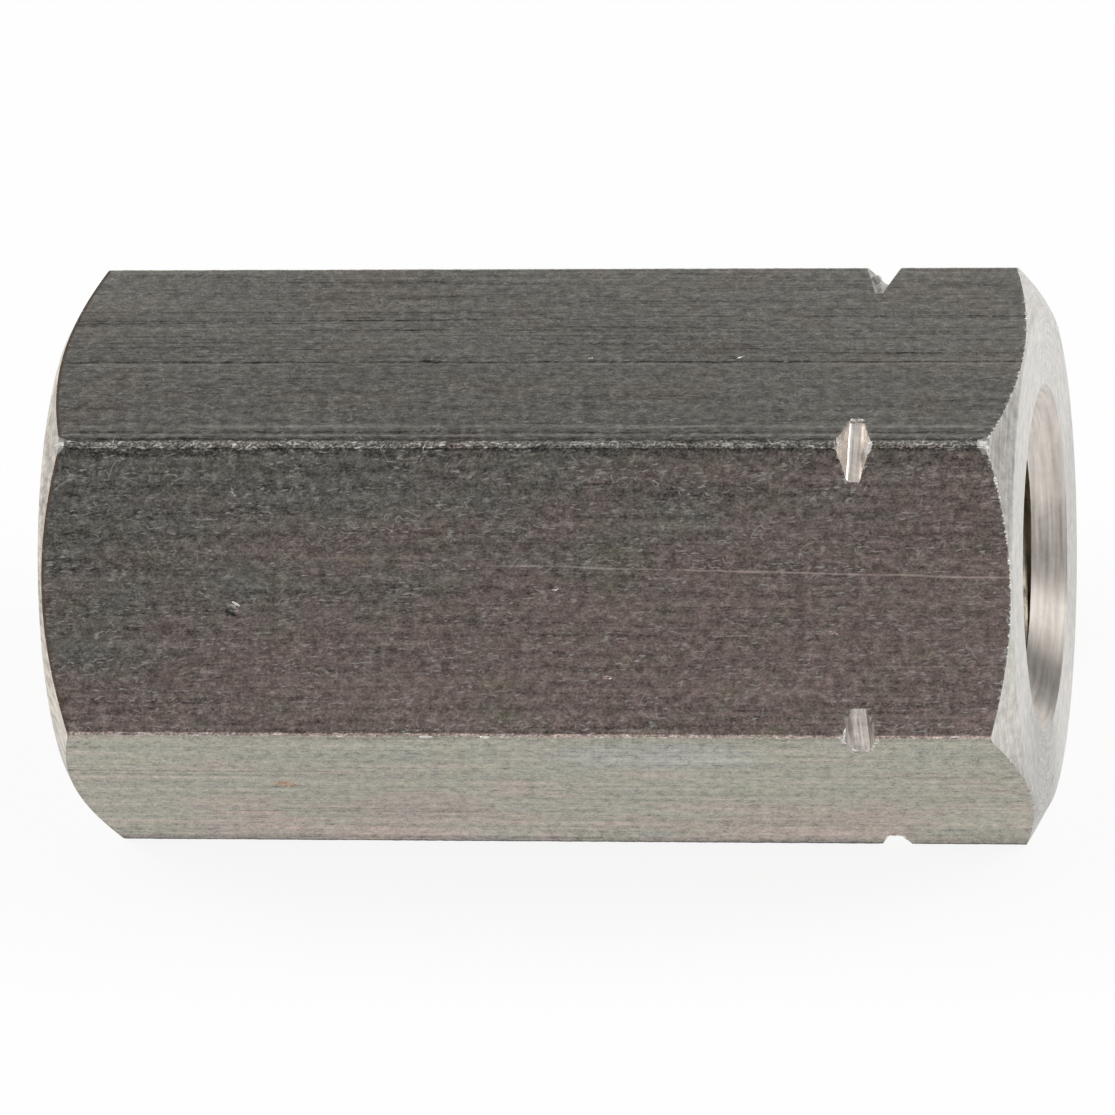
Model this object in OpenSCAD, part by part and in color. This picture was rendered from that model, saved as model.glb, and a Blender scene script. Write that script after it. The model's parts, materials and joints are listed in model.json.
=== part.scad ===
// Hexagon coupling nut, turned from drawn bar and threaded left-handed right through.
// It lies on one flat with its thread along X, and the end that carries the mark is at +X.
// The origin is on the thread's axis, halfway along the nut. Sizes are in millimetres.

/* [Bar] */
// Distance across two opposite flats of the drawn bar
across_flats = 18.8; // [16:0.1:24]
// Radius of the bar's six drawn corners
corner_radius = 0.3; // [0.1:0.05:1]
// Slight angle at which a corner's arc breaks from its flats
corner_break = 3; // [1:1:10]
// Length between the two end faces
nut_length = 36.2; // [24:0.1:60]

/* [Turned ends] */
// Slope of the end chamfers, measured from the end face
chamfer_angle = 30; // [15:1:45]
// How far inside the flats the chamfer starts on the marked end
marked_end_inset = 0.1; // [0.05:0.05:1]
// How far inside the flats the chamfer starts on the plain end
plain_end_inset = 0.35; // [0.05:0.05:1]

/* [Left-hand mark] */
// Distance from the marked end face to the middle of the groove
mark_from_end = 5.7; // [3:0.1:10]
// Depth of the groove below the bar's corners, where it runs true
mark_depth = 0.55; // [0.3:0.05:0.8]
// Width of the groove's flat floor
mark_floor_width = 0.55; // [0.2:0.05:1.5]
// Slope of the groove's walls, measured from square to the axis
mark_wall_angle = 36; // [0:1:60]
// How far the groove runs out of true with the bar
mark_runout = 0.14; // [0:0.01:0.2]
// Direction of that runout around the axis, from +Y towards +Z
mark_runout_turn = 232; // [0:1:359]

/* [Thread] */
// Nominal diameter of the left-hand thread
thread_diameter = 12; // [8:0.5:14]
// Height of the thread, from its crests out to the nominal diameter
thread_height = 0.8; // [0.5:0.05:1.1]
// How much wider than the thread the countersinks open
countersink_margin = 0.8; // [0.2:0.05:1.5]
// Full angle of the countersinks
countersink_angle = 90; // [60:5:120]

/* [Hidden] */

$fn = 120;

// How far a cutting shape runs past the surface that it cuts
overrun = 1;

// The bar's section: a hexagon with an arc at each corner, trimmed by the flats
corners = 6;
corner_pitch = 360 / corners;
flat_half_angle = corner_pitch / 2;
corner_turns = [for (i = [0 : corners - 1]) flat_half_angle + corner_pitch * i];
sharp_corner = across_flats / 2 / cos(flat_half_angle);
arc_to_flat = corner_radius * cos(corner_break);
arc_centre = sharp_corner - arc_to_flat / cos(flat_half_angle);
bar_reach = arc_centre + corner_radius;

// The turned blank: half its length, its end faces, and a radius clear of the bar
half_length = nut_length / 2;
marked_face_r = across_flats / 2 - marked_end_inset;
plain_face_r = across_flats / 2 - plain_end_inset;
blank_r = bar_reach + overrun;

// The groove: its place along the axis, its floor, and its half widths at floor and mouth
mark_x = half_length - mark_from_end;
mark_floor_r = bar_reach - mark_depth;
mark_mouth_r = blank_r + mark_runout;
mark_half_floor = mark_floor_width / 2;
mark_half_mouth = mark_half_floor + (mark_mouth_r - mark_floor_r) * tan(mark_wall_angle);

// The bore is cut to the thread's crests, and each countersink opens past its roots
bore_r = thread_diameter / 2 - thread_height;
countersink_r = (thread_diameter + countersink_margin) / 2;
countersink_slope = tan(countersink_angle / 2);
countersink_depth = (countersink_r - bore_r) / countersink_slope;

// A point at a given radius and direction around the axis
function around(radius, turn) = radius * [cos(turn), sin(turn)];

// The two ends of a corner's arc, where it passes out through the flats that trim it
function arc_ends(turn) = [
    for (side = [-1, 1])
        around(arc_centre, turn) + around(corner_radius, turn + side * flat_half_angle)
];

// Length that a chamfer takes between its end face and a given radius
function chamfer_rise(face_r, radius) = (radius - face_r) * tan(chamfer_angle);

// Shapes are drawn upright, marked end up, and then laid down along X
module laid_down() {
    rotate([0, 90, 0]) children();
}

module bar_section() {
    intersection() {
        rotate(flat_half_angle) circle(r = sharp_corner, $fn = corners);
        union() {
            polygon([for (turn = corner_turns) each arc_ends(turn)]);
            for (turn = corner_turns)
                translate(around(arc_centre, turn)) circle(r = corner_radius);
        }
    }
}

module drawn_bar() {
    translate([0, 0, -half_length - overrun])
        linear_extrude(nut_length + 2 * overrun) bar_section();
}

// Both end faces and their chamfers, as one turned outline
module turned_blank() {
    rotate_extrude()
        polygon([
            [0, -half_length],
            [plain_face_r, -half_length],
            [blank_r, chamfer_rise(plain_face_r, blank_r) - half_length],
            [blank_r, half_length - chamfer_rise(marked_face_r, blank_r)],
            [marked_face_r, half_length],
            [0, half_length]
        ]);
}

// The mark: a turned groove so shallow that it cuts the corners and misses the flats
module mark_groove() {
    translate([0, 0, mark_x])
        rotate_extrude()
            polygon([
                [mark_floor_r, -mark_half_floor],
                [mark_mouth_r, -mark_half_mouth],
                [mark_mouth_r, mark_half_mouth],
                [mark_floor_r, mark_half_floor]
            ]);
}

// The bore with a countersink at each end, as one turned outline
module thread_bore() {
    mouth = half_length + overrun;
    mouth_r = countersink_r + overrun * countersink_slope;
    throat = half_length - countersink_depth;
    rotate_extrude()
        polygon([
            [0, -mouth],
            [mouth_r, -mouth],
            [bore_r, -throat],
            [bore_r, throat],
            [mouth_r, mouth],
            [0, mouth]
        ]);
}

module coupling_nut() {
    color([0.42, 0.40, 0.39])
        difference() {
            laid_down()
                intersection() {
                    drawn_bar();
                    turned_blank();
                }
            translate(mark_runout * [0, cos(mark_runout_turn), sin(mark_runout_turn)])
                laid_down() mark_groove();
            laid_down() thread_bore();
        }
}

coupling_nut();
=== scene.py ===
import json
import math
import random
import bpy
from mathutils import Matrix, Quaternion, Vector


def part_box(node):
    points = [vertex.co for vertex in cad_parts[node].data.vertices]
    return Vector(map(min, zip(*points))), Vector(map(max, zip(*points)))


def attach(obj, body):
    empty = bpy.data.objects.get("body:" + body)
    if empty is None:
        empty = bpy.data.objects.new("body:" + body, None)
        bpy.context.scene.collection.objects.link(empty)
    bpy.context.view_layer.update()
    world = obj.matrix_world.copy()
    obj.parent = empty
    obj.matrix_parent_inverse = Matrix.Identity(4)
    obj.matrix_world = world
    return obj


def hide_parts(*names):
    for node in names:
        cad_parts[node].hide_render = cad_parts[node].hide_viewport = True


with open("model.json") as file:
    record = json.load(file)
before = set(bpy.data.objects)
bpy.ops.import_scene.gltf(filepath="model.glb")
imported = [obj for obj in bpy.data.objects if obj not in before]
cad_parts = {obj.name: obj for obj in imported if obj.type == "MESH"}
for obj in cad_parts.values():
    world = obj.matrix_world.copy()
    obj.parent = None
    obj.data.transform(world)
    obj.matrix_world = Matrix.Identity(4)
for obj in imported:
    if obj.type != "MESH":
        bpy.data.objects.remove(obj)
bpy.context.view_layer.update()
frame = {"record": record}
nutLow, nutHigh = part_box("coupling_nut")
mm = 1000.0  # millimetres in a metre: the nut is modelled in millimetres and scaled at the end
touch = 0.001  # places closer than this, in millimetres, count as one
threadMount = next(m for m in frame["record"]["mounts"] if m["name"] == "thread")
print("frame loaded, nut box", [round(v * mm, 2) for v in nutHigh - nutLow])

# What a user would change on the nut, in millimetres and degrees
nutValues = {
    "length": (nutHigh.x - nutLow.x) * mm,
    "acrossFlats": (nutHigh.z - nutLow.z) * mm,
    "cornerRadius": 0.3,
    "cornerSegments": 6,
    "ringCuts": (59, 5),  # rings along the bar, cut in two rounds
    "cornerWander": 0.025,  # slow waver of the drawn corners
    "wanderSize": 1.6,
    "cornerDents": 0.025,  # small knocks along the corners
    "dentSize": 0.25,
    "dentContrast": 3.0,
    "roughCorner": 120,  # the corner that shows both in full
    "smoothShare": 0.35,  # how much of them the others show
    "chamferSlope": 30,
    "markedEndInset": 0.1,
    "plainEndInset": 0.35,
    "turnedSteps": 360,
    "overrun": 1.0,  # how far a cutter passes the surface that it cuts
    "smoothAngle": 22,  # sharper edges than this stay sharp
}
markValues = {
    "fromEnd": 5.7,
    "depth": 0.55,
    "floorWidth": 0.55,
    "wallSlope": 36,
    "runout": 0.14,
    "runoutTurn": 232,
    "floorRound": 0.09,  # rounding between the floor and the near wall
    "roundSegments": 3,
    "closed": ((60, 0.26), (120, 0.1)),  # corners where the far wall is pushed over the mark, and how far
    "closedSweep": 16,
    "closedFade": 24,  # how far round its ragged edge follows the wall
    "endSlope": 2.4,  # how fast the ragged edge falls back past the mark's ends
}
threadValues = {
    "boreRadius": threadMount["dims"]["r_mm"],
    "boreSteps": 180,
    "majorRadius": 6.0,
    "pitch": 1.75,
    "stepsPerTurn": 72,
    "rootWidth": 0.22,
    "flankAngle": 30,
    "crestOverlap": 0.3,  # how far the cutter reaches inside the bore
    "endSink": 0.1,  # how far inside the bore its faded ends lie
    "countersinkRadius": 6.4,
}

flatTurns = [30 + 60 * side for side in range(6)]
halfLength = nutValues["length"] / 2
flatReach = nutValues["acrossFlats"] / 2
sharpCorner = flatReach / math.cos(math.radians(30))
barReach = sharpCorner - nutValues["cornerRadius"] * (1 / math.cos(math.radians(30)) - 1)
markedFaceRadius = flatReach - nutValues["markedEndInset"]
plainFaceRadius = flatReach - nutValues["plainEndInset"]
blankRadius = barReach + nutValues["overrun"]
chamferTangent = math.tan(math.radians(nutValues["chamferSlope"]))
markX = halfLength - markValues["fromEnd"]
markFloorRadius = barReach - markValues["depth"]
markTangent = math.tan(math.radians(markValues["wallSlope"]))
markTurn = math.radians(markValues["runoutTurn"])
markOffsetY = markValues["runout"] * math.cos(markTurn)
markOffsetZ = markValues["runout"] * math.sin(markTurn)
countersinkDepth = threadValues["countersinkRadius"] - threadValues["boreRadius"]
throat = halfLength - countersinkDepth


# Node helpers: a value may be a number or another node's output
def plug(tree, socket, value):
    if isinstance(value, bpy.types.NodeSocket):
        tree.links.new(value, socket)
    else:
        socket.default_value = value


def calc(tree, operation, first, second=0.0, third=0.0):
    node = tree.nodes.new("ShaderNodeMath")
    node.operation = operation
    for socket, value in zip(node.inputs, (first, second, third)):
        plug(tree, socket, value)
    return node.outputs[0]


def scaled(tree, value, factor):
    return calc(tree, "MULTIPLY", value, factor)


# A total with a share of another value added to it
def plus(tree, total, value, share):
    return calc(tree, "MULTIPLY_ADD", value, share, total)


# How far a noise lies from its middle
def swing(tree, noise):
    return calc(tree, "SUBTRACT", noise, 0.5)


def fade(tree, value, low, high, toLow=0.0, toHigh=1.0):
    node = tree.nodes.new("ShaderNodeMapRange")
    node.interpolation_type = "SMOOTHSTEP"
    for socket, number in zip(node.inputs, (value, low, high, toLow, toHigh)):
        plug(tree, socket, number)
    return node.outputs[0]


# A total that rises by an amount as a value goes from low to high
def stepped(tree, total, value, step):
    low, high, amount = step
    return plus(tree, total, fade(tree, value, low, high), amount)


def combine(tree, x, y, z=0.0):
    node = tree.nodes.new("ShaderNodeCombineXYZ")
    for socket, value in zip(node.inputs, (x, y, z)):
        plug(tree, socket, value)
    return node.outputs[0]


def mixColor(tree, amount, first, second, how="MIX"):
    node = tree.nodes.new("ShaderNodeMix")
    node.data_type = "RGBA"
    node.blend_type = how
    plug(tree, node.inputs[0], amount)
    plug(tree, node.inputs[6], first)
    plug(tree, node.inputs[7], second)
    return node.outputs[2]


def toned(tree, color, tone):
    return mixColor(tree, 1.0, color, combine(tree, tone, tone, tone), "MULTIPLY")


def grain(tree, along, across, detail=2.0, rough=0.5, shift=0.0):
    node = tree.nodes.new("ShaderNodeTexNoise")
    node.noise_dimensions = "2D"
    node.inputs["Scale"].default_value = 1.0
    node.inputs["Detail"].default_value = detail
    node.inputs["Roughness"].default_value = rough
    tree.links.new(combine(tree, calc(tree, "ADD", along, shift), across), node.inputs["Vector"])
    return node.outputs["Fac"]


# Each material reads the piece's Object coordinates in millimetres: x lies along the axis,
# and a direction around it is in degrees from +Y towards +Z
def barCoordinates(tree):
    coordinates = tree.nodes.new("ShaderNodeTexCoord")
    toMillimetres = tree.nodes.new("ShaderNodeMapping")
    toMillimetres.inputs["Scale"].default_value = (mm, mm, mm)
    tree.links.new(coordinates.outputs["Object"], toMillimetres.inputs["Vector"])
    parts = tree.nodes.new("ShaderNodeSeparateXYZ")
    tree.links.new(toMillimetres.outputs[0], parts.inputs[0])
    x, y, z = parts.outputs
    return x, y, z, fromAxis(tree, y, z)


def fromAxis(tree, y, z):
    return calc(tree, "SQRT", plus(tree, scaled(tree, z, z), y, y))


# Turn around the axis in radians, with its seam on the hidden +Y corner
def turnOf(tree, y, z):
    return calc(tree, "ARCTAN2", scaled(tree, z, -1.0), scaled(tree, y, -1.0))


# How far out a point lies in one direction
def outwards(tree, y, z, angle):
    c, s = math.cos(math.radians(angle)), math.sin(math.radians(angle))
    return plus(tree, scaled(tree, z, s), y, c)


# How far a surface faces one direction: 1 there, 0 past the half width in degrees
def facing(tree, y, z, radius, angle, halfWidth):
    lean = calc(tree, "DIVIDE", outwards(tree, y, z, angle), radius)
    return fade(tree, lean, math.cos(math.radians(halfWidth)), 1.0)


# 1 on the plain half of the nut and 0 on the marked half
def onPlainHalf(tree, x):
    return fade(tree, x, 1.0, -1.0)


def newMetal(name, roughness):
    material = bpy.data.materials.new(name)
    material.use_nodes = True
    tree = material.node_tree
    shader = tree.nodes["Principled BSDF"]
    shader.inputs["Metallic"].default_value = 1.0
    shader.inputs["Roughness"].default_value = roughness
    return material, tree, shader


def addBump(tree, shader, height, depth, strength):
    node = tree.nodes.new("ShaderNodeBump")
    node.inputs["Strength"].default_value = strength
    node.inputs["Distance"].default_value = depth / mm
    tree.links.new(height, node.inputs["Height"])
    tree.links.new(node.outputs[0], shader.inputs["Normal"])


# The drawn skin of the bar: dark mill finish with grain, draw lines, scratches and tints, and painted light
# and shade on its flats and corners.
# Flats go by direction: 90 is the upper one, 150 the middle one and 210 the lower one.
# A grain is (waves per mm along the bar, and across it, detail, roughness, shift), a step (from, to, amount),
# a line (place across its flat, rise per mm, from x, to x, half width, tone),
# and a stain (x, place across its flat, half length, half width, colour, strength)
skinValues = {
    "grey": (0.365, 0.352, 0.318, 1),
    "brown": (0.43, 0.337, 0.307, 1),
    "olive": (0.37, 0.36, 0.255, 1),
    "warm": (0.355, 0.345, 0.287, 1),
    "bare": (0.80, 0.78, 0.73, 1),
    "scuff": (0.78, 0.76, 0.72, 1),
    "rim": (0.27, 0.19, 0.14, 1),  # dark brown line along the plain end's chamfer: painted shadow of a small burr, with a rust tint
    "rimFade": (0.27, 0.15, 0.0, 0.85),
    "roughness": 0.4,
    "roughSwing": -0.25,  # lighter specks are smoother
    "bump": (0.006, 0.5),  # depth and strength
    "grains": {
        "speck": (9.0, 12.0, 1.0, 0.6, 0.0),
        "cloud": (2.0, 2.8, 4.0, 0.95, 3.0),
        "stroke": (3.0, 10.0, 1.0, 0.5, 31.0),
        "dash": (1.0, 11.0, 2.0, 0.5, 77.0),
        "rule": (0.1, 8.0, 1.0, 0.5, 19.0),
        "band": (0.08, 2.2, 3.0, 0.6, 9.0),
        "cluster": (0.55, 1.4, 2.0, 0.6, 13.0),
        "waver": (0.4, 3.0, 2.0, 0.5, 0.0),
        "gaps": (0.8, 2.0, 3.0, 0.6, 60.0),
        "blotch": (0.22, 0.45, 3.0, 0.6, 5.0),
        "patch": (0.5, 0.9, 3.0, 0.6, 70.0),
        "crumbs": (5.0, 5.0, 2.0, 0.6, 50.0),
    },
    "leans": {"speck": (1.5, 0.6), "stroke": (1.6, 0.3)},  # slant along and across the bar
    "cloudSlide": (-0.28, 0.33),  # slant of the clouds on the upper and lower flats
    "cloudStretch": -0.6,  # change of their width on the lower flat
    "flatShares": {  # how much more of a layer the upper, middle and lower flats show
        "cloud": (0.0, 0.0, -1.7),
        "speck": (-0.75, 0.0, -1.35),
        "crowd": (0.0, 0.0, -0.9),
        "scuff": (-0.25, 0.0, 0.0),
        "dash": (0.0, -0.5, 0.0),
    },
    "cloudDepth": 2.85,
    "speckDepth": 1.4,
    "crowdFade": (0.38, 0.64, 0.12, 1.0),  # where scuffs and scratches crowd
    "scuffFade": (0.59, 0.76, 0.0, 0.9),
    "dashFade": (0.42, 0.22, 0.0, -0.3),
    "lightRule": (0.58, 0.68, 0.6),
    "darkRule": (0.43, 0.34),
    "ruleDepth": 0.27,
    "ruleLeast": 0.35,  # share of the ruled streaks everywhere, and steps of it across two flats
    "ruleMore": {90: (1.0, -0.6, 0.65), 150: (2.5, 5.0, 0.4)},
    "bandDepth": 0.65,
    "brokenFade": (0.36, 0.56, 0.4, 1.0),  # where die lines break up
    "lineEnd": 2.0,  # length over which a die line fades out
    # painted light and shade on each flat: its level of tone, its slow changes, and bands along the top and
    # low edges
    "upperTone": (0.12, 0.0, -0.028),  # level, change per mm along the flat and across it
    "upperEnd": (4.0, 15.0, 0.13),
    "topEdgeLight": (-4.9, -5.2, 0.36),
    "middleTone": (-0.1, 0.003, 0.016),
    "lowerTone": 0.05,
    "lowEdgeShade": (4.5, 5.1, -0.36),
    "leastTone": 0.2,
    "cornerBand": (0.12, 0.04),  # depth below the corners at which their spots of painted shade fade in
    "cornerWidth": 14,
    "cornerSpots": (0.42, 0.64),
    "spotTones": ((0.42, 0.48), (0.78, 0.22)),  # level, and how much more on the corner kept bright
    "reflectingCorner": 180,  # kept bright all along: painted reflection of the floor
    # brown tint of that painted reflection
    "reflectingBrown": 0.2,
    # painted highlight on the top corner, painted shade on the bottom corner
    "cornerTones": {60: 0.25, 240: -0.4},
    "nearCorner": 120,
    "nearGaps": 0.5,  # how much deeper the painted shade on it goes where the die lines break, so its highlight comes and goes
    "nearWedge": 0.3,  # length of the light wedges at both its ends, painted highlights in the bare colour, and how far round they reach
    "wedgeTurn": 2.5,
    "brownLevel": 0.15,
    "brownBlotches": 1.6,
    "upperBlotches": -0.8,
    "middleBrown": (0.56, 0.018, 0.09),
    "lowerBrown": (0.46, 1.2, 0.05),  # level of the bands, their contrast, change across the flat
    "oliveFrom": (0.48, 0.75),
    "oliveShare": 0.4,
    "upperOlive": -0.3,
    # cell, half length, half width, share of cells, shift, tone
    "longScratch": (1.5, 0.45, 0.03, 0.5, 0.0, 0.64),
    "shortScratch": (0.495, 0.14, 0.03, 0.55, 40.0, 0.8),
    "cleanEdge": 0.1,  # width by which the plain end and the lower flat are less ragged
    "raggedFade": (0.45, 0.75, 0.0, 0.16),
    "raggedSoft": -0.03,
    "lines": {
        90: (
            (0.47, 0.0, -18.2, 18.2, 0.085, -0.6),
            (0.6, 0.0, -18.2, 18.2, 0.06, 0.4),
            (-2.35, 0.0, 1.0, 18.2, 0.07, -0.5),
            (-2.1, 0.0, -18.2, -1.0, 0.07, -0.5),
            (-1.5, 0.0, -12.0, 3.0, 0.06, -0.4),
            (-0.08, 0.0, 9.0, 18.2, 0.06, -0.45),
            (4.4, 0.0, -18.2, 18.2, 0.13, 0.6),
            (4.75, 0.0, -18.2, 18.2, 0.09, -0.4),
            (4.93, 0.0, -18.2, 18.2, 0.07, 0.6),
            (5.12, 0.0, -18.2, 18.2, 0.08, -0.4),
        ),
        150: (
            (-0.92, 0.0223, -2.0, 18.2, 0.055, 1.0),
            (-5.1, 0.0, -18.2, 18.2, 0.3, -0.12),
            (2.75, 0.0, 11.0, 18.2, 0.06, 0.3),
            (2.92, 0.0, 11.0, 18.2, 0.06, -0.25),
        ),
        210: (
            (-1.9, 0.0, -18.2, -6.0, 0.1, -0.3),
            (2.2, 0.0, -14.0, -2.0, 0.1, -0.3),
        ),
    },
    "stains": {
        210: (
            (-9.85, -0.64, 0.42, 0.26, (0.40, 0.24, 0.13, 1), 0.8),
            (-9.5, -0.4, 0.25, 0.16, (0.40, 0.24, 0.13, 1), 0.6),
            (-1.44, 2.56, 0.8, 0.3, (0.45, 0.37, 0.30, 1), 0.6),
            (-2.91, 2.27, 0.9, 0.3, (0.45, 0.37, 0.30, 1), 0.6),
            (4.7, -3.7, 4.2, 1.5, (0.382, 0.386, 0.355, 1), 0.6),
            (-5.0, 2.0, 3.6, 2.0, (0.40, 0.335, 0.295, 1), 0.6),
            (9.5, 3.2, 4.6, 1.7, (0.40, 0.335, 0.285, 1), 0.55),
        ),
        90: (
            (-11.92, 2.32, 0.9, 0.6, (0.27, 0.27, 0.26, 1), 0.45),
            (-6.44, 3.73, 1.0, 0.5, (0.27, 0.27, 0.26, 1), 0.4),
            (-3.89, 0.4, 0.4, 0.14, (0.12, 0.12, 0.11, 1), 0.9),
        ),
        150: (
            (3.9, -1.2, 1.4, 0.6, (0.36, 0.36, 0.26, 1), 0.4),
            (-10.8, 0.8, 0.22, 0.2, (0.10, 0.10, 0.09, 1), 0.9),
        ),
    },
}


# Place across one flat, and a mask that is 1 on that flat alone
def onFlat(tree, y, z, turn):
    across = outwards(tree, y, z, turn + 90)
    return across, fade(tree, outwards(tree, y, z, turn), flatReach - 0.06, flatReach - 0.01)


# A level that changes steadily along a flat and across it
def sloped(tree, x, across, slope):
    level, alongIt, acrossIt = slope
    return plus(tree, plus(tree, level, x, alongIt), across, acrossIt)


# A layer's share: 1 on the hidden flats, more or less on the three that show
def flatShare(tree, masks, name):
    share = 1.0
    for mask, more in zip(masks, skinValues["flatShares"][name]):
        if more:
            share = plus(tree, share, mask, more)
    return share


def skinGrain(tree, x, girth, name):
    alongScale, acrossScale, detail, rough, shift = skinValues["grains"][name]
    leanAlong, leanAcross = skinValues["leans"].get(name, (0.0, 0.0))
    along = scaled(tree, x, alongScale)
    across = scaled(tree, girth, acrossScale)
    if leanAlong:
        along = plus(tree, along, girth, leanAlong)
        across = plus(tree, across, x, leanAcross)
    return grain(tree, along, across, detail, rough, shift)


# Clouds of tone, slid along each flat so that they don't run aslant as seen
def skinClouds(tree, x, girth, upperFlat, lowerFlat):
    alongScale, acrossScale, detail, rough, shift = skinValues["grains"]["cloud"]
    upperSlide, lowerSlide = skinValues["cloudSlide"]
    slide = plus(tree, scaled(tree, upperFlat, upperSlide), lowerFlat, lowerSlide)
    slide = plus(tree, scaled(tree, x, alongScale), girth, slide)
    rise = scaled(tree, girth, plus(tree, acrossScale, lowerFlat, skinValues["cloudStretch"]))
    return grain(tree, slide, rise, detail, rough, shift)


# Light and dark lines ruled along a flat by the die, wavering and broken up along their length
def ruledLines(tree, x, across, lines, waver):
    total = 0.0
    for place, rise, fromX, toX, halfWidth, tone in lines:
        middle = plus(tree, place, x, rise) if rise else place
        middle = plus(tree, middle, waver, halfWidth * 2)
        off = calc(tree, "ABSOLUTE", calc(tree, "SUBTRACT", across, middle))
        shown = fade(tree, off, halfWidth, halfWidth * 0.3)
        if fromX > -halfLength:
            shown = scaled(tree, shown, fade(tree, x, fromX, fromX + skinValues["lineEnd"]))
        if toX < halfLength:
            shown = scaled(tree, shown, fade(tree, x, toX, toX - skinValues["lineEnd"]))
        total = plus(tree, total, shown, tone)
    return total


# A soft patch of another colour, its edge broken up by the clouds
def stained(tree, color, x, across, mask, stain, cloud):
    atX, atAcross, stainLength, stainWidth, tint, strength = stain
    alongIt = scaled(tree, calc(tree, "SUBTRACT", x, atX), 1 / stainLength)
    acrossIt = scaled(tree, calc(tree, "SUBTRACT", across, atAcross), 1 / stainWidth)
    away = plus(tree, scaled(tree, acrossIt, acrossIt), alongIt, alongIt)
    away = plus(tree, away, swing(tree, cloud), 2.5)
    shown = scaled(tree, fade(tree, away, 1.3, 0.3, 0.0, strength), mask)
    return mixColor(tree, shown, color, tint)


# Short scratches: each cell of a Voronoi pattern may hold one, turned and bent by its own colour
def scratches(tree, x, girth, scratch):
    cell, longest, halfWidth, share, shift, tone = scratch
    cells = tree.nodes.new("ShaderNodeTexVoronoi")
    cells.voronoi_dimensions = "2D"
    cells.inputs["Scale"].default_value = 1.0
    place = combine(tree, plus(tree, shift, x, 1 / cell), scaled(tree, girth, 1 / cell))
    tree.links.new(place, cells.inputs["Vector"])
    local = tree.nodes.new("ShaderNodeVectorMath")
    local.operation = "SUBTRACT"
    tree.links.new(place, local.inputs[0])
    tree.links.new(cells.outputs["Position"], local.inputs[1])
    chance = tree.nodes.new("ShaderNodeSeparateColor")
    tree.links.new(cells.outputs["Color"], chance.inputs[0])
    turned = tree.nodes.new("ShaderNodeVectorRotate")
    turned.rotation_type = "Z_AXIS"
    tree.links.new(local.outputs[0], turned.inputs["Vector"])
    lean = swing(tree, chance.outputs[0])
    tree.links.new(scaled(tree, lean, 2.6), turned.inputs["Angle"])
    parts = tree.nodes.new("ShaderNodeSeparateXYZ")
    tree.links.new(turned.outputs[0], parts.inputs[0])
    bend = scaled(tree, scaled(tree, parts.outputs[0], parts.outputs[0]), scaled(tree, lean, 2.0))
    aside = calc(tree, "ABSOLUTE", calc(tree, "SUBTRACT", parts.outputs[1], bend))
    ahead = calc(tree, "ABSOLUTE", parts.outputs[0])
    reach = plus(tree, longest / cell * 0.3, chance.outputs[2], longest / cell)
    shown = fade(tree, aside, halfWidth / cell, halfWidth / cell * 0.3, 0.0, tone)
    shown = scaled(tree, shown, fade(tree, calc(tree, "DIVIDE", ahead, reach), 1.0, 0.6))
    return scaled(tree, shown, calc(tree, "LESS_THAN", chance.outputs[1], share))


# How far along the bar a chamfer that starts at this face radius meets a surface
def chamferReach(tree, radius, faceRadius):
    return plus(tree, halfLength + faceRadius * chamferTangent, radius, -chamferTangent)


# Width of skin left to the nearest turned edge: the two chamfers, and the mark's groove
def edgeGap(tree, x, y, z, radius):
    marked = chamferReach(tree, radius, markedFaceRadius)
    plain = calc(tree, "ADD", chamferReach(tree, radius, plainFaceRadius), skinValues["cleanEdge"])
    ends = calc(tree, "MINIMUM", calc(tree, "SUBTRACT", marked, x), calc(tree, "ADD", plain, x))
    offY = calc(tree, "SUBTRACT", y, markOffsetY)
    offZ = calc(tree, "SUBTRACT", z, markOffsetZ)
    above = calc(tree, "SUBTRACT", fromAxis(tree, offY, offZ), markFloorRadius)
    halfMouth = plus(tree, markValues["floorWidth"] / 2, calc(tree, "MAXIMUM", above, 0.0), markTangent)
    ahead = calc(tree, "SUBTRACT", x, markX)
    behind = scaled(tree, ahead, -1.0)
    for turn, width in markValues["closed"]:
        ahead = plus(tree, ahead, facing(tree, y, z, radius, turn, markValues["closedFade"]), width)
    beside = calc(tree, "SUBTRACT", calc(tree, "MAXIMUM", ahead, behind), halfMouth)
    mark = calc(tree, "MAXIMUM", beside, scaled(tree, above, -markValues["endSlope"]))
    return ends, mark


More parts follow.
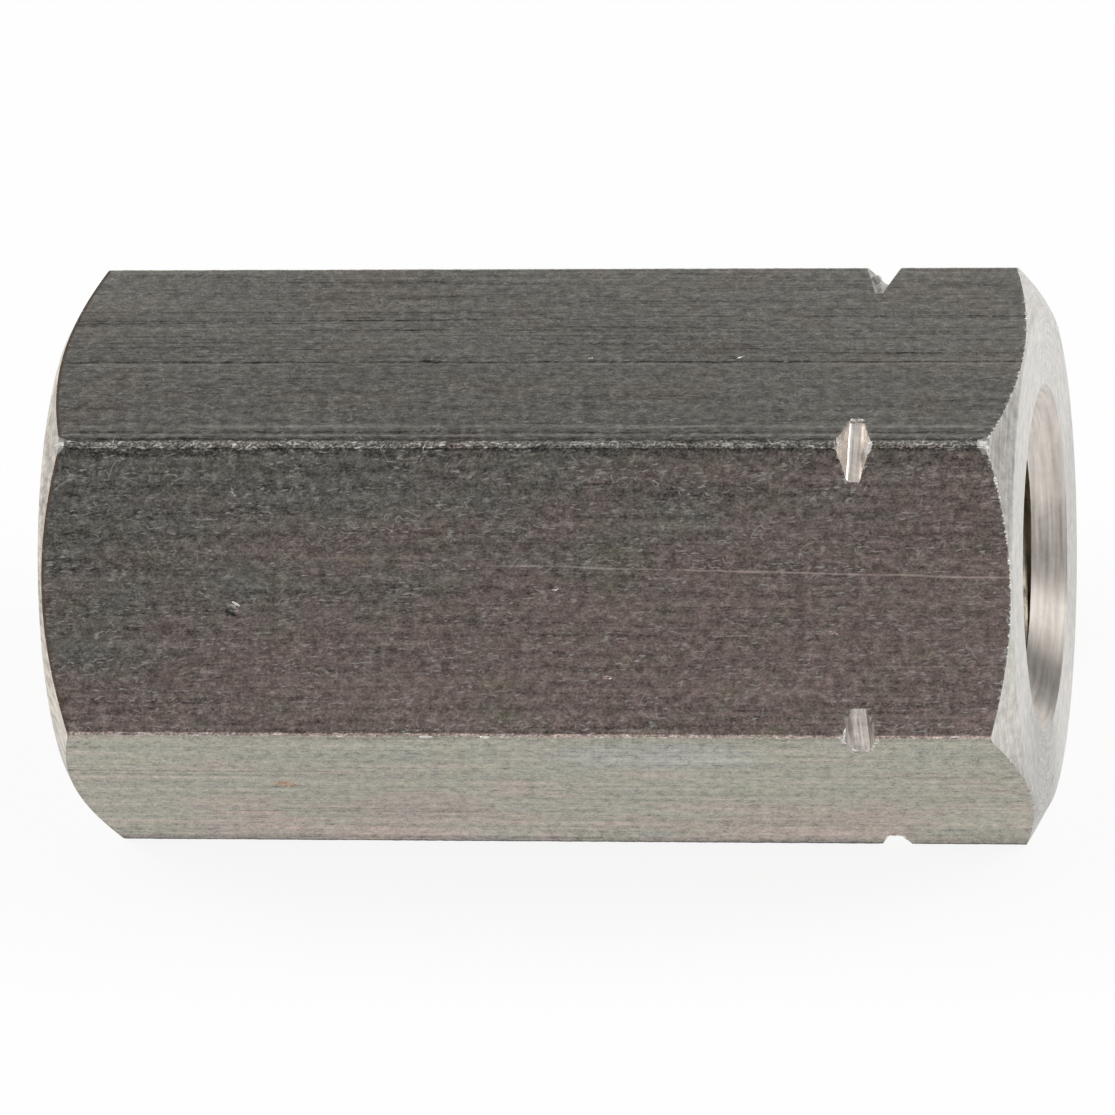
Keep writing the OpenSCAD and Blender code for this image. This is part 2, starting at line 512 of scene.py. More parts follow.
def drawnSkin():
    values = skinValues
    material, tree, shader = newMetal("drawnSkin", values["roughness"])
    x, y, z, radius = barCoordinates(tree)
    girth = scaled(tree, turnOf(tree, y, z), barReach)
    places = {side: onFlat(tree, y, z, side) for side in (90, 150, 210)}
    (upper, upperFlat), (middle, middleFlat), (lower, lowerFlat) = places.values()
    masks = (upperFlat, middleFlat, lowerFlat)

    def layer(name):
        return skinGrain(tree, x, girth, name)

    def share(name):
        return flatShare(tree, masks, name)

    def towards(angle):
        return facing(tree, y, z, radius, angle, values["cornerWidth"])

    # tone: specks and clouds, lopsided to the light side, or to the dark side on the lower flat
    speck = layer("speck")
    cloud = skinClouds(tree, x, girth, upperFlat, lowerFlat)
    speckShare = scaled(tree, share("speck"), values["speckDepth"])
    cloudShare = scaled(tree, share("cloud"), values["cloudDepth"])
    mix = scaled(tree, swing(tree, speck), speckShare)
    mix = plus(tree, mix, swing(tree, cloud), cloudShare)
    lopsided = calc(tree, "POWER", math.e, mix)
    tone = plus(tree, lopsided, lowerFlat, plus(tree, 2.0, lopsided, -2.0))
    # dark dashes, ruled streaks and broad bands over it
    tone = plus(tree, tone, fade(tree, layer("dash"), *values["dashFade"]), share("dash"))
    rule = layer("rule")
    ruled = stepped(tree, 0.0, rule, values["lightRule"])
    ruled = calc(tree, "SUBTRACT", ruled, fade(tree, rule, *values["darkRule"]))
    ruleShare = values["ruleLeast"]
    for side, (fromPlace, toPlace, more) in values["ruleMore"].items():
        across, mask = places[side]
        ruleShare = plus(tree, ruleShare, scaled(tree, mask, fade(tree, across, fromPlace, toPlace)), more)
    tone = plus(tree, tone, scaled(tree, ruled, ruleShare), values["ruleDepth"])
    band = layer("band")
    tone = plus(tree, tone, swing(tree, band), values["bandDepth"])
    # die lines
    waver = swing(tree, layer("waver"))
    broken = fade(tree, layer("gaps"), *values["brokenFade"])
    for side, (across, mask) in places.items():
        dieLines = ruledLines(tree, x, across, values["lines"][side], waver)
        tone = plus(tree, tone, dieLines, scaled(tree, mask, broken))
    # painted light and shade: the upper and lower flats lighter and the middle one darker, with slow changes
    # along and across them, a lighter band along the top edge and a darker one along the low edge
    upperTone = sloped(tree, x, upper, values["upperTone"])
    upperTone = stepped(tree, upperTone, x, values["upperEnd"])
    upperTone = stepped(tree, upperTone, upper, values["topEdgeLight"])
    tone = plus(tree, tone, upperFlat, upperTone)
    tone = plus(tree, tone, middleFlat, sloped(tree, x, middle, values["middleTone"]))
    tone = plus(tree, tone, lowerFlat, stepped(tree, values["lowerTone"], lower, values["lowEdgeShade"]))
    tone = calc(tree, "MAXIMUM", tone, values["leastTone"])
    # painted shade in spots along the corners breaks up and dims their highlights; the lower near corner is
    # kept bright all along as a painted reflection of the floor, the top corner gets painted light and the
    # bottom one painted shade
    outerBand, innerBand = values["cornerBand"]
    corner = fade(tree, radius, barReach - outerBand, barReach - innerBand)
    reflecting = towards(values["reflectingCorner"])
    spotTones = [plus(tree, level, reflecting, more) for level, more in values["spotTones"]]
    spots = fade(tree, speck, *values["cornerSpots"], *spotTones)
    for angle, more in values["cornerTones"].items():
        spots = plus(tree, spots, towards(angle), more)
    patchy = scaled(tree, towards(values["nearCorner"]), values["nearGaps"])
    spots = scaled(tree, spots, plus(tree, 1.0, patchy, calc(tree, "SUBTRACT", broken, 1.0)))
    tone = scaled(tree, tone, plus(tree, 1.0, corner, calc(tree, "SUBTRACT", spots, 1.0)))
    # tint: browner on the middle flat towards the marked end, patchy elsewhere
    blotches = plus(tree, values["brownBlotches"], upperFlat, values["upperBlotches"])
    brown = plus(tree, values["brownLevel"], swing(tree, layer("blotch")), blotches)
    brown = plus(tree, brown, middleFlat, sloped(tree, x, middle, values["middleBrown"]))
    level, contrast, across = values["lowerBrown"]
    lowerBrown = plus(tree, scaled(tree, lower, across), calc(tree, "SUBTRACT", band, level), contrast)
    brown = plus(tree, brown, lowerFlat, lowerBrown)
    # brown tint on the painted reflection of the lower near corner
    brown = plus(tree, brown, scaled(tree, corner, reflecting), values["reflectingBrown"])
    tint = mixColor(tree, lowerFlat, values["grey"], values["warm"])
    tint = mixColor(tree, fade(tree, brown, 0.0, 1.0), tint, values["brown"])
    patch = fade(tree, layer("patch"), *values["oliveFrom"])
    patch = scaled(tree, patch, plus(tree, values["oliveShare"], upperFlat, values["upperOlive"]))
    tint = mixColor(tree, patch, tint, values["olive"])
    for side, stains in values["stains"].items():
        across, mask = places[side]
        for stain in stains:
            tint = stained(tree, tint, x, across, mask, stain, cloud)
    color = toned(tree, tint, tone)
    # scuffs and scratches through the skin, in crowds
    crowd = scaled(tree, fade(tree, layer("cluster"), *values["crowdFade"]), share("crowd"))
    scuffs = scaled(tree, fade(tree, layer("stroke"), *values["scuffFade"]), crowd)
    scuffs = scaled(tree, scuffs, share("scuff"))
    color = mixColor(tree, scuffs, color, values["scuff"])
    longOnes = scratches(tree, x, girth, values["longScratch"])
    shortOnes = scratches(tree, x, girth, values["shortScratch"])
    bare = scaled(tree, calc(tree, "MAXIMUM", longOnes, shortOnes), crowd)
    # a dark brown rim at the plain end, painted as a small burr's shadow with a rust tint, and ragged bare
    # edges where the turning tools broke out
    ends, mark = edgeGap(tree, x, y, z, radius)
    ends = plus(tree, ends, lowerFlat, values["cleanEdge"])
    rim = scaled(tree, fade(tree, ends, *values["rimFade"]), onPlainHalf(tree, x))
    # painted highlight: light wedges in the bare colour at both ends of the corner at 120
    wedgeHighlight = facing(tree, y, z, radius, values["nearCorner"], values["wedgeTurn"])
    ends = plus(tree, ends, wedgeHighlight, -values["nearWedge"])
    color = mixColor(tree, scaled(tree, rim, calc(tree, "SUBTRACT", 1.0, wedgeHighlight)), color, values["rim"])
    crumbs = fade(tree, layer("crumbs"), *values["raggedFade"])
    gap = calc(tree, "SUBTRACT", calc(tree, "MINIMUM", ends, mark), crumbs)
    ragged = fade(tree, gap, 0.0, values["raggedSoft"])
    color = mixColor(tree, calc(tree, "MAXIMUM", bare, ragged), color, values["bare"])
    tree.links.new(color, shader.inputs["Base Color"])
    rough = plus(tree, values["roughness"], swing(tree, speck), values["roughSwing"])
    tree.links.new(rough, shader.inputs["Roughness"])
    addBump(tree, shader, speck, *values["bump"])
    return material


# Fine rings left by a turning tool, with no seam around the axis
def toolRings(tree, fine, y, z, radius, around):
    node = tree.nodes.new("ShaderNodeTexNoise")
    node.inputs["Scale"].default_value = 1.0
    node.inputs["Detail"].default_value = 3.0
    aroundY = calc(tree, "DIVIDE", scaled(tree, y, around), radius)
    aroundZ = calc(tree, "DIVIDE", scaled(tree, z, around), radius)
    tree.links.new(combine(tree, fine, aroundY, aroundZ), node.inputs["Vector"])
    return node.outputs["Fac"]


# A turned surface: its colour, rings per mm, how soon rings break up, contrast of rings and of mottling,
# and painted shades and lights of (direction, half width, tone) around the axis. The end faces also have a
# painted shade over a stretch of the marked chamfer, and a plain end that is browner and more mottled
turnedValues = {
    "face": {
        "color": (0.63, 0.605, 0.565, 1), "rings": 13.0, "around": 5.0, "depth": 0.4, "mottle": 0.42,
        # painted shade towards the bottom of the end faces, and a little painted light at their top
        "roughness": 0.33, "paintedShades": ((225, 45, -0.36), (330, 40, -0.17), (140, 40, -0.03), (80, 40, 0.05)),
        "chamferShade": (120, 30, -0.19), "plainColor": (0.60, 0.545, 0.475, 1), "plainMottle": 1.2,
    },
    "groove": {
        "color": (0.64, 0.585, 0.54, 1), "rings": 13.0, "around": 8.0, "depth": 0.75, "mottle": 0.4,
        # painted shade on the mark round the lower near corner, a dark painted reflection in it on the top
        # corner, and a painted shadow at the upper end of its floor on the 120 corner
        "roughness": 0.36, "paintedShades": ((180, 40, -0.25), (62, 14, -0.45), (112, 3, -0.45)),
    },
    "countersink": {
        "color": (0.60, 0.55, 0.50, 1), "rings": 9.0, "around": 2.5, "depth": 0.5, "mottle": 0.15,
        # painted light and shade in bands round the countersink
        "roughness": 0.36, "paintedShades": ((330, 18, -0.25), (297, 18, 0.36), (265, 20, -0.2)),
    },
    "thread": {
        "color": (0.50, 0.44, 0.35, 1), "rings": 6.0, "around": 12.0, "depth": 0.5, "mottle": 0.3,
        # painted shade where the thread in the bore catches light, and at its top
        "roughness": 0.4, "paintedShades": ((5, 40, -0.35), (298, 30, -0.65)),
    },
    "mottleScale": 2.2,
    "bump": (0.01, 0.4),
}


def turnedMetal(name, surface, fineAxis):
    values = turnedValues[surface]
    material, tree, shader = newMetal(name, values["roughness"])
    x, y, z, radius = barCoordinates(tree)
    fine = scaled(tree, x if fineAxis == "x" else radius, values["rings"])
    rings = toolRings(tree, fine, y, z, radius, values["around"])
    mottleScale = turnedValues["mottleScale"]
    mottle = swing(tree, grain(tree, plus(tree, x, y, mottleScale), scaled(tree, z, mottleScale), 4.0, 0.7))
    tone = plus(tree, 1.0, swing(tree, rings), values["depth"] * 2)
    tone = plus(tree, tone, mottle, values["mottle"] * 2)
    # painted light and shade by direction around the axis
    for angle, halfWidth, shade in values["paintedShades"]:
        tone = plus(tree, tone, facing(tree, y, z, radius, angle, halfWidth), shade)
    base = values["color"]
    if surface == "face":
        # painted shade on the marked chamfer near the corner at 120
        angle, halfWidth, shade = values["chamferShade"]
        chamfer = fade(tree, radius, markedFaceRadius, markedFaceRadius + 0.05)
        tone = plus(tree, tone, scaled(tree, chamfer, facing(tree, y, z, radius, angle, halfWidth)), shade)
        plainHalf = onPlainHalf(tree, x)
        tone = plus(tree, tone, scaled(tree, mottle, plainHalf), values["plainMottle"])
        base = mixColor(tree, plainHalf, base, values["plainColor"])
    tree.links.new(toned(tree, base, tone), shader.inputs["Base Color"])
    addBump(tree, shader, rings, *turnedValues["bump"])
    return material


# Torn edges and knocks, where fresh steel shows
tornValues = {
    "color": (0.78, 0.76, 0.72, 1),
    "metallic": 0.5,
    "roughness": 0.45,
    "grain": (12.0, 120.0),  # waves per mm along the bar, and per radian around it
    "tones": (0.8, 1.1),
    "bump": (0.01, 0.5),
}


def bareBurr():
    values = tornValues
    material, tree, shader = newMetal("bareBurr", values["roughness"])
    shader.inputs["Metallic"].default_value = values["metallic"]
    x, y, z, radius = barCoordinates(tree)
    alongScale, aroundScale = values["grain"]
    torn = grain(tree, scaled(tree, x, alongScale), scaled(tree, turnOf(tree, y, z), aroundScale))
    tone = fade(tree, torn, 0.2, 0.8, *values["tones"])
    tree.links.new(toned(tree, values["color"], tone), shader.inputs["Base Color"])
    addBump(tree, shader, torn, *values["bump"])
    return material


finishes = {
    "drawnSkin": drawnSkin(),
    "turnedFace": turnedMetal("turnedFace", "face", "radius"),
    "grooveCut": turnedMetal("grooveCut", "groove", "x"),
    "countersinkCut": turnedMetal("countersinkCut", "countersink", "radius"),
    "threadCut": turnedMetal("threadCut", "thread", "x"),
    "bareBurr": bareBurr(),
}
print("finishes ready:", ", ".join(finishes))


# Modelling helpers: a new primitive is the only piece selected, and its parts are picked by place
def startPiece(name, finish):
    piece = bpy.context.active_object
    piece.name = name
    bpy.ops.object.transform_apply(location=True, rotation=True, scale=True)
    piece.data.materials.append(finishes[finish])
    return piece


def pick(piece, kind, test):
    bpy.ops.object.mode_set(mode="EDIT")
    bpy.ops.mesh.select_mode(type=kind)
    bpy.ops.mesh.select_all(action="DESELECT")
    bpy.ops.object.mode_set(mode="OBJECT")
    parts = {"VERT": piece.data.vertices, "EDGE": piece.data.edges, "FACE": piece.data.polygons}[kind]
    for part in parts:
        part.select = test(part)
    bpy.ops.object.mode_set(mode="EDIT")


def closeUp():
    bpy.ops.mesh.select_all(action="SELECT")
    bpy.ops.mesh.remove_doubles(threshold=touch / 2)
    bpy.ops.mesh.normals_make_consistent(inside=False)
    bpy.ops.object.mode_set(mode="OBJECT")


def selectOnly(piece):
    bpy.ops.object.select_all(action="DESELECT")
    bpy.context.view_layer.objects.active = piece
    piece.select_set(True)


def useModifier(piece, kind, **settings):
    selectOnly(piece)
    modifier = piece.modifiers.new(kind.lower(), kind)
    for setting, value in settings.items():
        setattr(modifier, setting, value)
    bpy.ops.object.modifier_apply(modifier=modifier.name)


# Each cut leaves the cutter's finish on the surface that it makes
def cutWith(piece, cutter, operation, overlapping=False):
    useModifier(piece, "BOOLEAN", object=cutter, operation=operation, solver="EXACT", use_self=overlapping,
                material_mode="TRANSFER")
    bpy.data.objects.remove(cutter)


def alongX(edge, mesh):
    step = mesh.vertices[edge.vertices[1]].co - mesh.vertices[edge.vertices[0]].co
    return abs(step.x) > 0.99 * step.length


# How far round the axis a point lies from a turn, in degrees
def turnedFrom(point, turn):
    return abs((math.degrees(math.atan2(point.z, point.y)) - turn + 180) % 360 - 180)


def capAt(x):
    return lambda face: abs(face.center.x - x) < touch and abs(face.normal.x) > 0.99


def widenCap(piece, x, rise, factor):
    pick(piece, "FACE", capAt(x))
    bpy.ops.mesh.extrude_region_move(TRANSFORM_OT_translate={"value": (rise, 0, 0)})
    bpy.ops.transform.resize(value=(1, factor, factor), center_override=(x + rise, 0, 0))
    bpy.ops.object.mode_set(mode="OBJECT")


def cylinderAlongX(name, finish, vertices, radius, fromX, toX):
    middle = ((fromX + toX) / 2, 0, 0)
    bpy.ops.mesh.primitive_cylinder_add(vertices=vertices, radius=radius, depth=toX - fromX, location=middle,
                                        rotation=(0, math.radians(90), 0))
    return startPiece(name, finish)


# An outline that stands on the +Y side of the axis, ready to be turned around it; it stays in edit mode
def ringProfile(name, finish, x, radii, widths, centreY=0.0, centreZ=0.0):
    innerRadius, outerRadius = radii
    innerWidth, outerWidth = widths
    middle = (innerRadius + outerRadius) / 2
    bpy.ops.mesh.primitive_plane_add(size=1, location=(x, centreY + middle, centreZ))
    piece = bpy.context.active_object
    piece.scale = (innerWidth, outerRadius - innerRadius, 1)
    startPiece(name, finish)
    pick(piece, "VERT", lambda v: v.co.y > centreY + middle)
    factor = outerWidth / innerWidth
    bpy.ops.transform.resize(value=(factor, 1, 1), center_override=(x, centreY + outerRadius, centreZ))
    bpy.ops.mesh.select_all(action="SELECT")
    bpy.ops.mesh.delete(type="ONLY_FACE")
    return piece


def cloudTexture(name, size):
    texture = bpy.data.textures.new(name, "CLOUDS")
    texture.noise_scale = size
    return texture


def drawnBar():
    reach = halfLength + nutValues["overrun"]
    bar = cylinderAlongX("couplingNut", "drawnSkin", 6, sharpCorner, -reach, reach)
    pick(bar, "EDGE", lambda e: alongX(e, bar.data))
    tangent = nutValues["cornerRadius"] * math.tan(math.radians(30))
    bpy.ops.mesh.bevel(offset=tangent, segments=nutValues["cornerSegments"], profile=0.5, affect="EDGES")
    for cuts in nutValues["ringCuts"]:
        bpy.ops.object.mode_set(mode="OBJECT")
        pick(bar, "EDGE", lambda e: alongX(e, bar.data))
        bpy.ops.mesh.subdivide(number_cuts=cuts)
    bpy.ops.object.mode_set(mode="OBJECT")
    # only the arcs move, so the flats stay flat
    flats = [Vector((0, math.cos(math.radians(t)), math.sin(math.radians(t)))) for t in flatTurns]
    corners = bar.vertex_groups.new(name="corners")
    onArc = [v.index for v in bar.data.vertices if max(v.co.dot(n) for n in flats) < flatReach - touch / 2]
    corners.add(onArc, nutValues["smoothShare"], "REPLACE")
    rough = [i for i in onArc if turnedFrom(bar.data.vertices[i].co, nutValues["roughCorner"]) < 30]
    corners.add(rough, 1.0, "REPLACE")
    wander = cloudTexture("cornerWander", nutValues["wanderSize"])
    dents = cloudTexture("cornerDents", nutValues["dentSize"])
    dents.contrast = nutValues["dentContrast"]
    for texture, depth in ((wander, nutValues["cornerWander"]), (dents, nutValues["cornerDents"])):
        useModifier(bar, "DISPLACE", texture=texture, texture_coords="LOCAL", vertex_group="corners",
                    strength=depth, mid_level=1.0)
    print("drawn bar:", len(bar.data.polygons), "faces")
    return bar


def turnedBlank():
    markedRise = (blankRadius - markedFaceRadius) * chamferTangent
    plainRise = (blankRadius - plainFaceRadius) * chamferTangent
    blank = cylinderAlongX("turnedBlank", "turnedFace", nutValues["turnedSteps"], blankRadius,
                           plainRise - halfLength, halfLength - markedRise)
    widenCap(blank, halfLength - markedRise, markedRise, markedFaceRadius / blankRadius)
    widenCap(blank, plainRise - halfLength, -plainRise, plainFaceRadius / blankRadius)
    return blank


def markGroove():
    mouthRadius = blankRadius + markValues["runout"]
    mouthWidth = markValues["floorWidth"] + 2 * (mouthRadius - markFloorRadius) * markTangent
    ring = ringProfile("markGroove", "grooveCut", markX, (markFloorRadius, mouthRadius),
                       (markValues["floorWidth"], mouthWidth), markOffsetY, markOffsetZ)
    bpy.ops.object.mode_set(mode="OBJECT")
    pick(ring, "VERT", lambda v: v.co.x < markX and v.co.y < markOffsetY + markFloorRadius + touch)
    bpy.ops.mesh.bevel(offset=markValues["floorRound"], segments=markValues["roundSegments"],
                       affect="VERTICES")
    bpy.ops.mesh.select_all(action="SELECT")
    bpy.ops.mesh.spin(steps=nutValues["turnedSteps"], angle=math.radians(360),
                      center=(markX, markOffsetY, markOffsetZ), axis=(1, 0, 0))
    closeUp()
    for turn, width in markValues["closed"]:
        pick(ring, "VERT", lambda v: v.co.x > markX and turnedFrom(v.co, turn) < markValues["closedSweep"])
        bpy.ops.transform.translate(value=(-width, 0, 0))
        bpy.ops.object.mode_set(mode="OBJECT")
    return ring


def threadBore():
    overrun = nutValues["overrun"]
    boreRadius = threadValues["boreRadius"]
    mouthFactor = (threadValues["countersinkRadius"] + overrun) / boreRadius
    bore = cylinderAlongX("threadBore", "threadCut", threadValues["boreSteps"], boreRadius, -throat, throat)
    bore.data.materials.append(finishes["countersinkCut"])
    widenCap(bore, throat, countersinkDepth + overrun, mouthFactor)
    widenCap(bore, -throat, -countersinkDepth - overrun, mouthFactor)
    for face in bore.data.polygons:
        face.material_index = 1 if abs(face.center.x) > throat else 0
    return bore


# Left-hand: the cutter turns backwards as it goes along +X, and fades out at both throats
def threadHelix():
    values = threadValues
    innerRadius = values["boreRadius"] - values["crestOverlap"]
    innerWidth = values["rootWidth"]
    innerWidth += 2 * (values["majorRadius"] - innerRadius) * math.tan(math.radians(values["flankAngle"]))
    turns = math.ceil(2 * throat / values["pitch"]) + 1
    startX = -turns * values["pitch"] / 2
    helix = ringProfile("threadHelix", "threadCut", startX, (innerRadius, values["majorRadius"]),
                        (innerWidth, values["rootWidth"]))
    bpy.ops.object.mode_set(mode="OBJECT")
    useModifier(helix, "SCREW", axis="X", angle=math.radians(-360), screw_offset=values["pitch"],
                iterations=turns, steps=values["stepsPerTurn"], render_steps=values["stepsPerTurn"])
    for v in helix.data.vertices:
        allowed = max(values["boreRadius"] - values["endSink"], values["boreRadius"] + throat - abs(v.co.x))
        around = Vector((0, v.co.y, v.co.z))
        if around.length > allowed:
            v.co.yz = (around * (allowed / around.length)).yz
    bpy.ops.object.mode_set(mode="EDIT")
    bpy.ops.mesh.select_all(action="SELECT")
    bpy.ops.mesh.fill_holes(sides=4)
    closeUp()
    return helix


# Burrs left by the turning tools, in millimetres and degrees. Crumbs sit along the marked end's chamfer:
# for each flat how many, and where across it, from -1 to 1, they crowd.
# A sliver or a nick is (flat, x, place across the flat, turn on it, length, width, height or depth)
burrValues = {
    "crumbs": {30: (8, 0), 90: (28, 0.97), 150: (54, -0.97), 210: (3, 0), 330: (8, 0)},
    "crumbReach": 0.97,
    "crumbSize": (0.02, 0.075),
    "sink": 0.13,  # share of its height by which a burr sits in the flat
    "seed": 11,
    "slivers": (
        (90, 11.8, 5.3, 80, 0.55, 0.12, 0.1),
        (150, 12.95, -5.25, 110, 0.6, 0.2, 0.12),
        (90, 12.2, 4.05, 30, 0.2, 0.14, 0.08),
        (90, 12.5, 4.05, 0, 0.24, 0.1, 0.07),
        (150, 11.85, 5.3, 100, 0.6, 0.1, 0.08),
        (150, -3.64, 5.4, 0, 0.5, 0.12, 0.08),
        (150, -1.44, 5.4, 0, 0.4, 0.12, 0.08),
        (150, 17.2, -5.3, 20, 0.35, 0.18, 0.1),
        (150, -17.1, -5.34, 0, 0.36, 0.12, 0.05),
        (150, -10.6, 0.5, 30, 0.36, 0.1, 0.05),
    ),
    "curlCorner": 60,
    "curlX": 11.97,
    "curlRadius": 0.1,
    "curlSweep": 230,
    "curlSteps": 14,
    "curlStart": 160,
    "curlThickness": 0.13,
    "curlWidth": 0.35,
}
nickValues = {
    "segments": 16,
    "rings": 10,
    "places": (
        (150, -10.73, 0.67, 25, 0.5, 0.34, 0.05),
        (150, -10.58, -3.62, 60, 0.4, 0.13, 0.03),
        (150, 1.32, -0.09, -20, 0.28, 0.14, 0.03),
        (150, 5.09, -3.96, 45, 0.4, 0.2, 0.03),
        (150, 3.17, 3.18, 0, 0.4, 0.15, 0.03),
        (150, 11.53, 1.5, 10, 0.4, 0.14, 0.03),
        (150, -13.48, -4.7, 90, 0.6, 0.1, 0.04),
        (150, 16.4, 5.12, -15, 1.2, 0.08, 0.03),
        (90, 2.01, 0.26, -20, 0.22, 0.16, 0.03),
        (90, 7.59, 0.21, -35, 0.45, 0.13, 0.03),
    ),
}


# Where a thing stands on a flat: its own X along the bar, then turned, and its Z straight out.
# It is lifted a little, so that its widest ring doesn't lie exactly on the flat
def standing(turn, x, across, spin, size, lift):
    outTurn = Quaternion((1, 0, 0), math.radians(turn - 90))
    asLaid = outTurn @ Quaternion((0, 0, 1), math.radians(-spin))
    place = Vector((x, 0, 0)) + outTurn @ Vector((0, -across, flatReach + lift))
    return Matrix.LocRotScale(place, asLaid, Vector(size))


def copyTo(model, matrix):
    twin = model.copy()
    twin.data = model.data.copy()
    twin.data.transform(matrix)
    bpy.context.collection.objects.link(twin)
    return twin


def joined(name, pieces):
    selectOnly(pieces[0])
    for piece in pieces:
        piece.select_set(True)
    bpy.ops.object.join()
    pieces[0].name = name
    return pieces[0]


# A strip of metal curled over on itself, left hanging in the mark on one corner
def curledBurr():
    values = burrValues
    bpy.ops.mesh.primitive_plane_add(
        size=1, location=(values["curlRadius"], 0, 0), rotation=(math.radians(90), 0, 0))
    curl = bpy.context.active_object
    curl.scale = (values["curlThickness"], values["curlWidth"], 1)
    startPiece("curledBurr", "bareBurr")
    bpy.ops.object.mode_set(mode="EDIT")
    bpy.ops.mesh.select_all(action="SELECT")
    bpy.ops.mesh.spin(steps=values["curlSteps"], angle=math.radians(values["curlSweep"]),
                      center=(0, 0, 0), axis=(0, 0, 1))
    closeUp()
    radius = markFloorRadius + values["curlRadius"]
    out = Quaternion((1, 0, 0), math.radians(values["curlCorner"]))
    asLaid = out @ Quaternion((0, 0, 1), math.radians(values["curlStart"]))
    place = Vector((values["curlX"], 0, 0)) + out @ Vector((0, radius, 0))
    curl.data.transform(Matrix.LocRotScale(place, asLaid, Vector((1, 1, 1))))
    return curl


def toolBurrs():
    chance = random.Random(burrValues["seed"])
    reach = burrValues["crumbReach"]
    bpy.ops.mesh.primitive_ico_sphere_add(subdivisions=1, radius=1)
    crumb = startPiece("crumb", "bareBurr")
    bpy.ops.mesh.primitive_ico_sphere_add(subdivisions=2, radius=1)
    sliver = startPiece("sliver", "bareBurr")
    burrs = [curledBurr()]
    halfFlat = flatReach * math.tan(math.radians(30))
    for turn, (count, crowd) in burrValues["crumbs"].items():
        for number in range(count):
            across = chance.triangular(-reach, reach, crowd) * halfFlat
            x = halfLength - (math.hypot(flatReach, across) - markedFaceRadius) * chamferTangent
            size = [chance.uniform(*burrValues["crumbSize"]) for axis in range(3)]
            spin = chance.uniform(0, 180)
            place = standing(turn, x, across, spin, size, -burrValues["sink"] * size[2])
            burrs.append(copyTo(crumb, place))
    for turn, x, across, spin, length, width, height in burrValues["slivers"]:
        size = (length / 2, width / 2, height)
        burrs.append(copyTo(sliver, standing(turn, x, across, spin, size, -burrValues["sink"] * height)))
    bpy.data.objects.remove(crumb)
    bpy.data.objects.remove(sliver)
    return joined("toolBurrs", burrs)


def handlingNicks():
    bpy.ops.mesh.primitive_uv_sphere_add(
        segments=nickValues["segments"], ring_count=nickValues["rings"], radius=1)
    dish = startPiece("dish", "drawnSkin")
    nicks = []
    for turn, x, across, spin, length, width, depth in nickValues["places"]:
        size = (length / 2, width / 2, depth * 2)
        nicks.append(copyTo(dish, standing(turn, x, across, spin, size, depth)))
    bpy.data.objects.remove(dish)
    return joined("handlingNicks", nicks)


def couplingNut():
    nut = drawnBar()
    cutWith(nut, turnedBlank(), "INTERSECT")
    print("ends turned:", len(nut.data.polygons), "faces")
    cutWith(nut, markGroove(), "DIFFERENCE")
    print("mark cut:", len(nut.data.polygons), "faces")
    cutWith(nut, toolBurrs(), "UNION", overlapping=True)
    cutWith(nut, handlingNicks(), "DIFFERENCE")
    print("burrs and nicks:", len(nut.data.polygons), "faces")
    cutWith(nut, threadBore(), "DIFFERENCE")
    cutWith(nut, threadHelix(), "DIFFERENCE")
    print("thread cut:", len(nut.data.polygons), "faces")
    selectOnly(nut)
    bpy.ops.object.shade_smooth_by_angle(angle=math.radians(nutValues["smoothAngle"]))
    useModifier(nut, "WEIGHTED_NORMAL", mode="FACE_AREA", weight=100, keep_sharp=True)
    nut.scale = (1 / mm, 1 / mm, 1 / mm)
    bpy.ops.object.transform_apply(location=False, rotation=False, scale=True)
    return nut


nut = couplingNut()
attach(nut, "root")
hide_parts("coupling_nut")
print("nut finished:", len(nut.data.polygons), "faces,", [m.name for m in nut.data.materials])

# The set: a white floor, a dim soft surround and three soft lamps, in metres
setValues = {
    "floorSize": 4.0,
    "floorColor": (0.95, 0.95, 0.95, 1),
    "floorGlow": 0.9,  # how far the floor is plain white where it is seen, itself or mirrored
    "horizon": 0.42,
    "sky": 0.16,
    "skyFrom": 0.4,  # height of the direction above which the surround is all sky
    "lamps": {  # for each, its size, power and place
        "overheadLamp": (1.0, 2.0, (0, 0, 0.8)),
        "leftLamp": (0.5, 4.0, (-0.7, 0, 0.6)),
        "rightLamp": (0.5, 4.0, (0.7, 0, 0.6)),
    },
}


def seenDirectly(tree):
    path = tree.nodes.new("ShaderNodeLightPath")
    seen = calc(tree, "MAXIMUM", path.outputs["Is Camera Ray"], path.outputs["Is Glossy Ray"])
    return calc(tree, "MAXIMUM", seen, path.outputs["Is Transmission Ray"])


def studioFloor():
    bpy.ops.mesh.primitive_plane_add(size=setValues["floorSize"], location=(0, 0, nutLow.z))
    floor = bpy.context.active_object
    floor.name = "studioFloor"
    material = bpy.data.materials.new("whiteFloor")
    material.use_nodes = True
    tree = material.node_tree
    tree.nodes.remove(tree.nodes["Principled BSDF"])
    matte = tree.nodes.new("ShaderNodeBsdfDiffuse")
    matte.inputs["Color"].default_value = setValues["floorColor"]
    glow = tree.nodes.new("ShaderNodeEmission")
    glow.inputs["Strength"].default_value = 1.0
    both = tree.nodes.new("ShaderNodeMixShader")
    plug(tree, both.inputs[0], scaled(tree, seenDirectly(tree), setValues["floorGlow"]))
    tree.links.new(matte.outputs[0], both.inputs[1])
    tree.links.new(glow.outputs[0], both.inputs[2])
    tree.links.new(both.outputs[0], tree.nodes["Material Output"].inputs["Surface"])
    floor.data.materials.append(material)


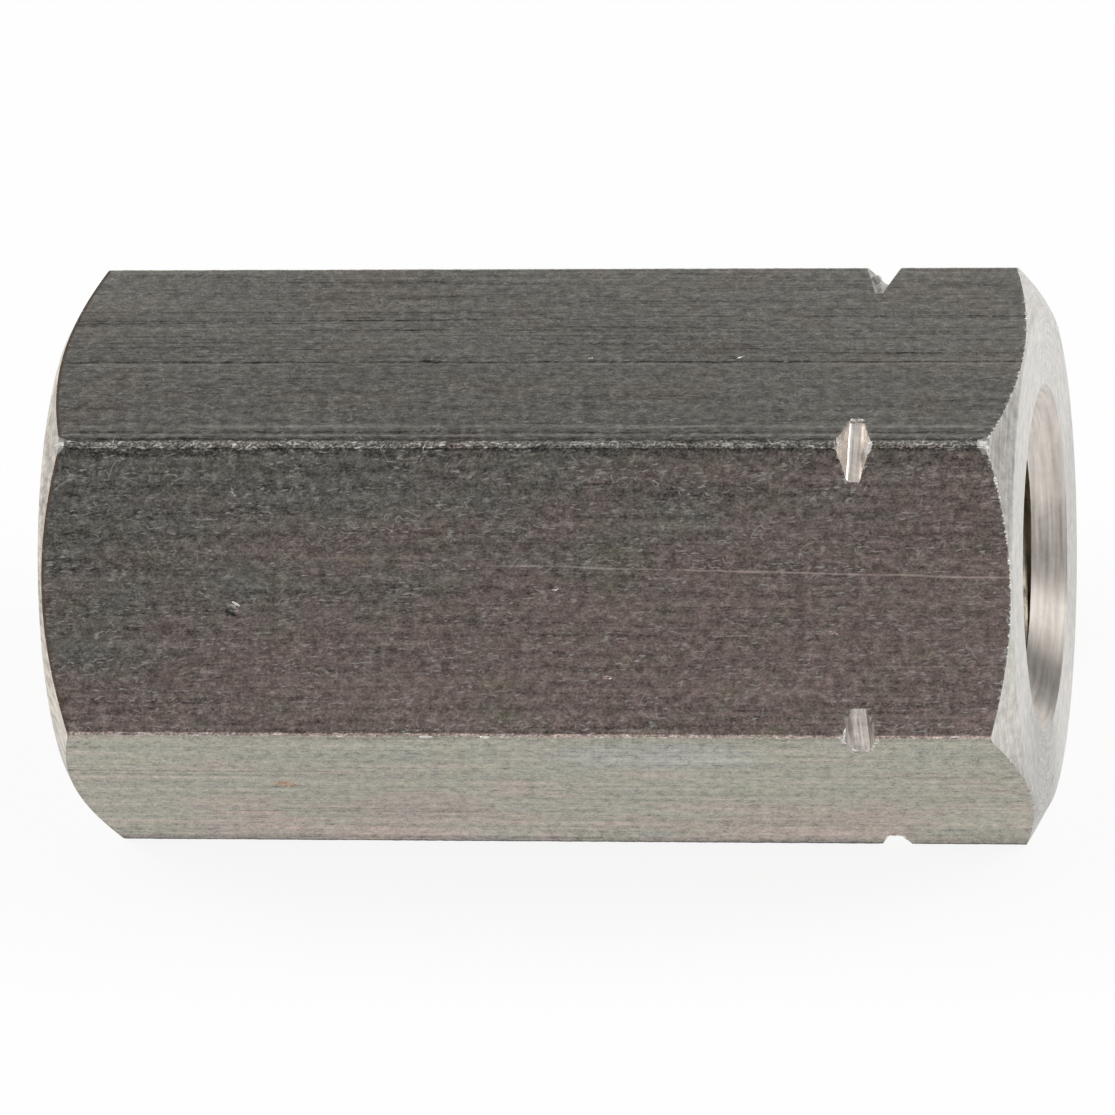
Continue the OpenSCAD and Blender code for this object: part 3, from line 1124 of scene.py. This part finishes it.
def softLamp(name, size, power, place):
    bpy.ops.object.light_add(type="AREA", location=place)
    lamp = bpy.context.active_object
    lamp.name = name
    lamp.data.size = size
    lamp.data.energy = power
    lamp.rotation_mode = "QUATERNION"
    lamp.rotation_quaternion = Vector(place).to_track_quat("Z", "Y")


def studioSurround():
    world = bpy.data.worlds.new("softSurround")
    world.use_nodes = True
    tree = world.node_tree
    coordinates = tree.nodes.new("ShaderNodeTexCoord")
    parts = tree.nodes.new("ShaderNodeSeparateXYZ")
    tree.links.new(coordinates.outputs["Generated"], parts.inputs[0])
    level = fade(tree, parts.outputs[2], 0.0, setValues["skyFrom"], setValues["horizon"], setValues["sky"])
    tree.links.new(level, tree.nodes["Background"].inputs["Strength"])
    tree.nodes["Background"].inputs["Color"].default_value = (1, 1, 1, 1)
    bpy.context.scene.world = world


studioFloor()
studioSurround()
for name, lamp in setValues["lamps"].items():
    softLamp(name, *lamp)
bpy.context.scene.view_settings.view_transform = "Standard"
print("set built")

# The camera stands where the photograph was taken from, in metres and degrees
cameraValues = {
    "azimuth": 12.641,
    "elevation": 37.094,
    "roll": -7.6,
    "distance": 0.39028,
    "aim": (-0.000257, -0.000068, -0.000005),
    "lens": 337.21,
    "sensor": 36.0,
    "clip": (0.01, 20.0),
}


def photoCamera():
    azimuth = math.radians(cameraValues["azimuth"])
    elevation = math.radians(cameraValues["elevation"])
    level = math.cos(elevation)
    back = Vector((math.sin(azimuth) * level, -math.cos(azimuth) * level, math.sin(elevation)))
    place = Vector(cameraValues["aim"]) + back * cameraValues["distance"]
    bpy.ops.object.camera_add(location=place)
    camera = bpy.context.active_object
    camera.name = "photoCamera"
    camera.rotation_mode = "QUATERNION"
    roll = Quaternion((0, 0, 1), math.radians(cameraValues["roll"]))
    camera.rotation_quaternion = (-back).to_track_quat("-Z", "Y") @ roll
    camera.data.lens = cameraValues["lens"]
    camera.data.sensor_width = cameraValues["sensor"]
    camera.data.clip_start, camera.data.clip_end = cameraValues["clip"]
    bpy.context.scene.camera = camera


photoCamera()
print("camera placed")
